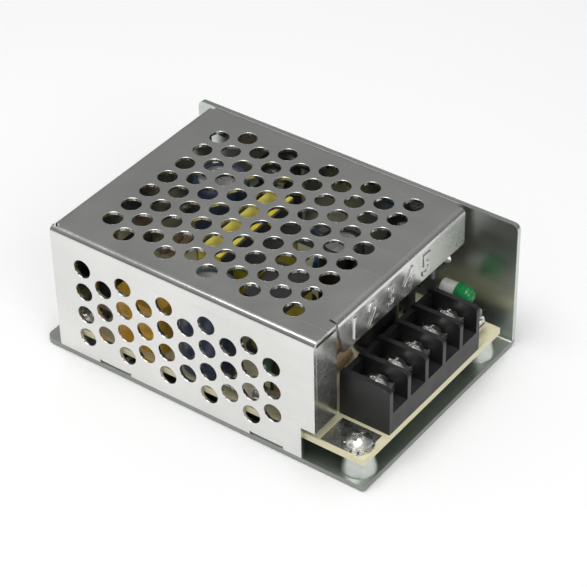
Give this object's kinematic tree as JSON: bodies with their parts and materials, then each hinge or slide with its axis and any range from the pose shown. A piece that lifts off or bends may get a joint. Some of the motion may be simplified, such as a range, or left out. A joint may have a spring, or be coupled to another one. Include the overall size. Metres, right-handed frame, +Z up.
{
  "type": "mesh case switching power supply",
  "caption": "Switching power supply on one board in an L-shaped chassis, under a folded perforated cover, with an open end for barrier terminals, an indicator lamp and a voltage trimmer",
  "frame": {"origin": "Middle of the chassis base's underside, at the middle of the overall length and width", "axes": "+X points out of the terminal end along the case; +Y points to the outside of the plain chassis wall, so the perforated side panel faces -Y; +Z points up out of the perforated top"},
  "size_m": [0.085, 0.058, 0.033],
  "materials": {
    "case_aluminium": "satin",
    "cover_sheet": "bright",
    "screw_steel": "bright",
    "tinned_metal": "bright",
    "insulation_film": "gloss",
    "board_laminate": "satin",
    "terminal_moulding": "satin",
    "ferrite": "matte",
    "black_moulding": "matte",
    "yellow_tape": "gloss",
    "capacitor_sleeve": "gloss",
    "black_sleeve": "gloss",
    "film_capacitor_box": "gloss",
    "blue_epoxy": "gloss",
    "green_epoxy": "gloss",
    "copper_wire": "bright",
    "green_ring": "satin",
    "fuse_ceramic": "gloss",
    "resistor_coating": "satin",
    "thermal_pad": "matte",
    "lamp_lens": "gloss",
    "white_plastic": "satin"
  },
  "bodies": {
    "case": {"chassis": "case_aluminium", "cover": "cover_sheet", "cover_screws": "screw_steel", "insulating_sheet": "insulation_film", "circuit_board": "board_laminate", "board_screws": "screw_steel", "lock_washers": "screw_steel", "terminal_block": "terminal_moulding", "terminal_contacts": "tinned_metal", "transformer_core": "ferrite", "transformer_bobbin": "black_moulding", "transformer_winding": "yellow_tape", "core_tape": "yellow_tape", "bulk_capacitors": "capacitor_sleeve", "output_capacitors": "black_sleeve", "line_capacitor": "film_capacitor_box", "safety_capacitor": "blue_epoxy", "supply_capacitor": "capacitor_sleeve", "line_choke_core": "green_ring", "line_choke_windings": "copper_wire", "filter_coil": "yellow_tape", "filter_coil_core": "ferrite", "output_inductor_core": "ferrite", "output_inductor_winding": "copper_wire", "bridge_rectifier": "black_moulding", "fuse": "fuse_ceramic", "inrush_thermistor": "green_epoxy", "controller_chip": "black_moulding", "optocoupler": "black_moulding", "resistors": "resistor_coating", "diodes": "black_moulding", "shunt_regulator": "black_moulding", "power_transistor": "black_moulding", "output_rectifier": "black_moulding", "device_leads": "tinned_metal", "thermal_pads": "thermal_pad", "device_screws": "screw_steel", "lamp": "lamp_lens", "lamp_sleeve": "white_plastic", "lamp_leads": "tinned_metal", "trimmer_body": "white_plastic", "trimmer_legs": "tinned_metal"},
    "clamp_1": {"clamp_plate_1": "screw_steel"},
    "screw_1": {"terminal_screw_1": "screw_steel"},
    "clamp_2": {"clamp_plate_2": "screw_steel"},
    "screw_2": {"terminal_screw_2": "screw_steel"},
    "clamp_3": {"clamp_plate_3": "screw_steel"},
    "screw_3": {"terminal_screw_3": "screw_steel"},
    "clamp_4": {"clamp_plate_4": "screw_steel"},
    "screw_4": {"terminal_screw_4": "screw_steel"},
    "clamp_5": {"clamp_plate_5": "screw_steel"},
    "screw_5": {"terminal_screw_5": "screw_steel"},
    "trimmer": {"trimmer_rotor": "tinned_metal"}
  },
  "joints": [
    {"name": "clamp_lift_1", "type": "slide", "parent": "case", "child": "clamp_1", "axis": [0, 0, 1], "range_m": [0, 0.0025]},
    {"name": "screw_turn_1", "type": "hinge", "parent": "clamp_1", "child": "screw_1", "pos_m": [0.0358, -0.01475, 0.0152], "axis": [0, 0, 1], "range_deg": [-360, 2520]},
    {"name": "clamp_lift_2", "type": "slide", "parent": "case", "child": "clamp_2", "axis": [0, 0, 1], "range_m": [0, 0.0025]},
    {"name": "screw_turn_2", "type": "hinge", "parent": "clamp_2", "child": "screw_2", "pos_m": [0.0358, -0.00825, 0.0152], "axis": [0, 0, 1], "range_deg": [-360, 2520]},
    {"name": "clamp_lift_3", "type": "slide", "parent": "case", "child": "clamp_3", "axis": [0, 0, 1], "range_m": [0, 0.0025]},
    {"name": "screw_turn_3", "type": "hinge", "parent": "clamp_3", "child": "screw_3", "pos_m": [0.0358, -0.00175, 0.0152], "axis": [0, 0, 1], "range_deg": [-360, 2520]},
    {"name": "clamp_lift_4", "type": "slide", "parent": "case", "child": "clamp_4", "axis": [0, 0, 1], "range_m": [0, 0.0025]},
    {"name": "screw_turn_4", "type": "hinge", "parent": "clamp_4", "child": "screw_4", "pos_m": [0.0358, 0.00475, 0.0152], "axis": [0, 0, 1], "range_deg": [-360, 2520]},
    {"name": "clamp_lift_5", "type": "slide", "parent": "case", "child": "clamp_5", "axis": [0, 0, 1], "range_m": [0, 0.0025]},
    {"name": "screw_turn_5", "type": "hinge", "parent": "clamp_5", "child": "screw_5", "pos_m": [0.0358, 0.01125, 0.0152], "axis": [0, 0, 1], "range_deg": [-360, 2520]},
    {"name": "trimmer_turn", "type": "hinge", "parent": "case", "child": "trimmer", "pos_m": [0.0385, 0.0193, 0.01], "axis": [1, 0, 0], "range_deg": [-120, 120]}
  ],
  "couplings": [
    {"joint": "screw_turn_1", "follows": "clamp_lift_1", "rad_per_m": 12566},
    {"joint": "screw_turn_2", "follows": "clamp_lift_2", "rad_per_m": 12566},
    {"joint": "screw_turn_3", "follows": "clamp_lift_3", "rad_per_m": 12566},
    {"joint": "screw_turn_4", "follows": "clamp_lift_4", "rad_per_m": 12566},
    {"joint": "screw_turn_5", "follows": "clamp_lift_5", "rad_per_m": 12566}
  ]
}
